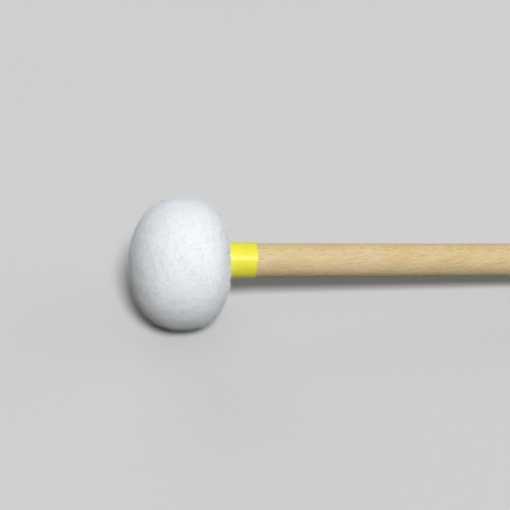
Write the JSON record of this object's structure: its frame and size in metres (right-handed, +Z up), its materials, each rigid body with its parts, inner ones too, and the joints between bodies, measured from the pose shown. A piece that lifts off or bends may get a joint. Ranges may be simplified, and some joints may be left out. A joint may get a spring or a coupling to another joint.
{
  "type": "timpani mallet",
  "caption": "Timpani mallet lying down: fluffy white felt head on a turned wooden handle, with a yellow tape band where they meet.",
  "frame": {"origin": "on the ground under the middle of the mallet's overall box, as it lies on its head and its butt", "axes": "+X runs from the head towards the butt, level with the ground; the handle's own axis dips 2.8 degrees from it towards the butt. +Z is up, and the pressed flat under the head faces -Z"},
  "size_m": [0.3678, 0.0476, 0.0472],
  "materials": {
    "maple_handle": "satin lacquer over turned maple",
    "birch_core": "turned, unfinished",
    "steel": "zinc plated, satin",
    "firm_felt": "dense pressed felt, matt",
    "soft_felt": "soft white felt with a raised nap",
    "waxed_thread": "waxed, twisted",
    "yellow_tape": "satin vinyl tape"
  },
  "bodies": {
    "root": {"handle": "maple_handle", "core": "birch_core", "retaining_washer": "steel", "retaining_screw": "steel", "tip_pad": "firm_felt", "liner": "firm_felt", "back_pad": "firm_felt", "cover": "soft_felt", "gather_thread": "waxed_thread", "band": "yellow_tape"}
  },
  "joints": []
}
